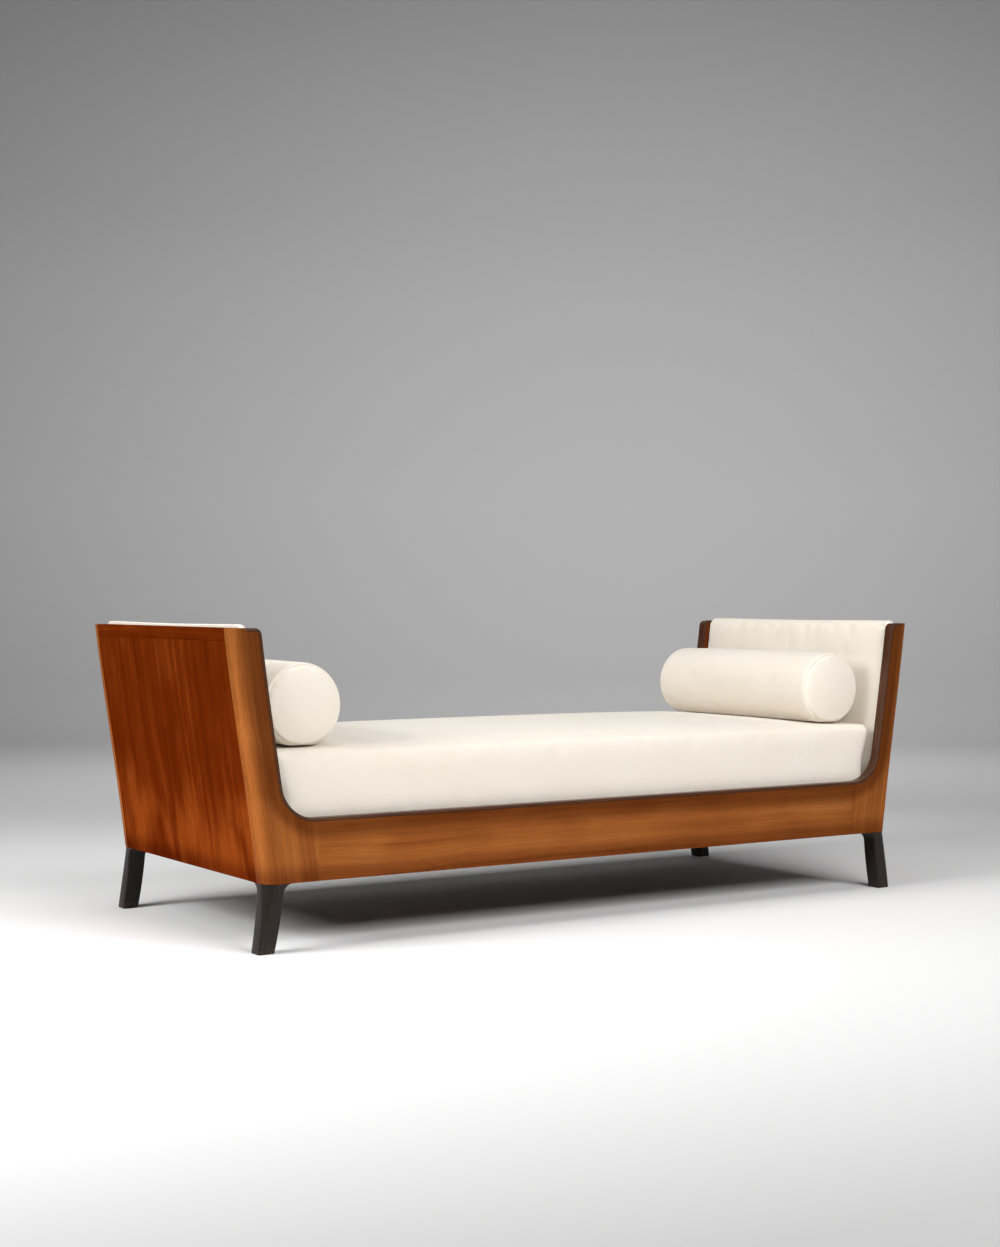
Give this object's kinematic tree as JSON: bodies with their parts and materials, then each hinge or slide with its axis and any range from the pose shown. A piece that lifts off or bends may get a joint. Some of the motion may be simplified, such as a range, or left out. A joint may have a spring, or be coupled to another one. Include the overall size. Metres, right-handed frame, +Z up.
{
  "type": "recamier",
  "caption": "Low daybed with an open back, two equal leaning ends, a veneered frame on dark sabre legs, a slatted base, a mattress and a bolster at each end.",
  "frame": {"origin": "on the floor under the middle of the frame", "axes": "+X along the length towards the end on the picture's right, +Y from the front to the back, +Z up"},
  "size_m": [2.152, 0.874, 0.768],
  "materials": {
    "rail_veneer": "figured red-brown veneer under a glossy polish",
    "end_veneer": "dark red-brown veneer under a glossy polish",
    "dark_bead": "dark stained hardwood, polished",
    "ebonised_wood": "black stained hardwood, satin polish",
    "base_wood": "planed beech, stained dark brown",
    "board": "plywood, bare",
    "steel": "bright steel",
    "upholstery": "cream cotton and linen weave, matt"
  },
  "bodies": {
    "frame": {"front_left_post": "rail_veneer", "front_right_post": "rail_veneer", "back_left_post": "rail_veneer", "back_right_post": "rail_veneer", "front_rail": "rail_veneer", "back_rail": "rail_veneer", "front_left_post_bead": "dark_bead", "front_right_post_bead": "dark_bead", "back_left_post_bead": "dark_bead", "back_right_post_bead": "dark_bead", "front_rail_bead": "dark_bead", "back_rail_bead": "dark_bead", "front_left_leg": "ebonised_wood", "front_right_leg": "ebonised_wood", "back_left_leg": "ebonised_wood", "back_right_leg": "ebonised_wood", "front_left_leg_bolt": "steel", "front_right_leg_bolt": "steel", "back_left_leg_bolt": "steel", "back_right_leg_bolt": "steel", "front_left_corner_block": "base_wood", "front_right_corner_block": "base_wood", "back_left_corner_block": "base_wood", "back_right_corner_block": "base_wood", "left_end_panel": "end_veneer", "right_end_panel": "end_veneer", "left_crest_rail": "end_veneer", "right_crest_rail": "end_veneer", "left_pad_board": "board", "right_pad_board": "board", "left_cross_rail": "base_wood", "right_cross_rail": "base_wood", "left_end_pad": "upholstery", "right_end_pad": "upholstery", "front_ledger": "base_wood", "back_ledger": "base_wood", "centre_bearer": "base_wood", "slat_1": "base_wood", "slat_2": "base_wood", "slat_3": "base_wood", "slat_4": "base_wood", "slat_5": "base_wood", "slat_6": "base_wood", "slat_7": "base_wood", "slat_8": "base_wood", "slat_9": "base_wood", "slat_10": "base_wood", "slat_11": "base_wood", "slat_12": "base_wood", "slat_13": "base_wood", "slat_14": "base_wood"},
    "mattress": {"mattress": "upholstery"},
    "left_bolster": {"left_bolster": "upholstery"},
    "right_bolster": {"right_bolster": "upholstery"}
  },
  "joints": [
    {"name": "mattress_lift", "type": "slide", "parent": "frame", "child": "mattress", "axis": [0, 0, 1], "range_m": [0, 0.35]},
    {"name": "left_bolster_lift", "type": "slide", "parent": "mattress", "child": "left_bolster", "axis": [0, 0, 1], "range_m": [0, 0.3]},
    {"name": "right_bolster_lift", "type": "slide", "parent": "mattress", "child": "right_bolster", "axis": [0, 0, 1], "range_m": [0, 0.3]}
  ]
}
